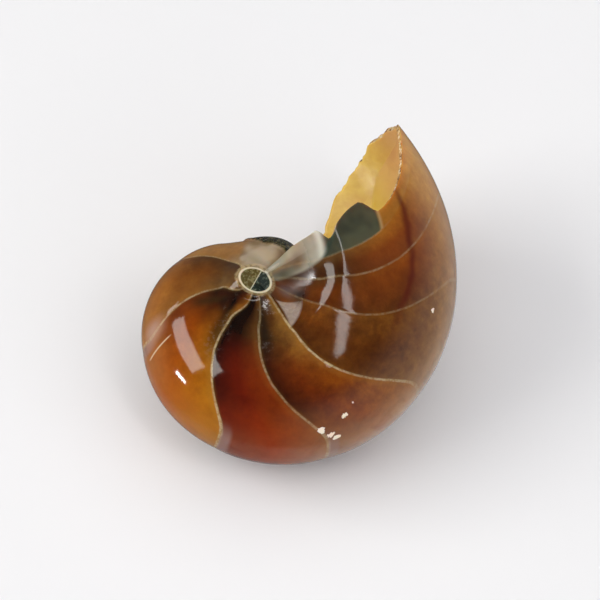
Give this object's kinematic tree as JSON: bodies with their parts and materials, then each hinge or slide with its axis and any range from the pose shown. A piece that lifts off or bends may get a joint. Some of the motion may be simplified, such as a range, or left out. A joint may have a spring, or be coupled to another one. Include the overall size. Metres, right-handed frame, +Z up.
{
  "type": "nautilus fossil",
  "caption": "Polished nautilus fossil: a coiled shell of translucent amber stone with its chambers filled, lying on its flank, its living chamber broken open.",
  "frame": {"origin": "centre of the bounding box in plan, at the height of the surface that the fossil lies on", "axes": "+Z up, with the fossil lying on its lower flank; +Y towards the tip of the broken aperture; +X to the right as the coil is read with the aperture at the far end"},
  "size_m": [0.0404, 0.0488, 0.0315],
  "materials": {
    "amber_stone": "polished translucent calcite, amber to red-brown, with cream septum lines"
  },
  "bodies": {
    "root": {"nautilus_fossil": "amber_stone"}
  },
  "joints": []
}
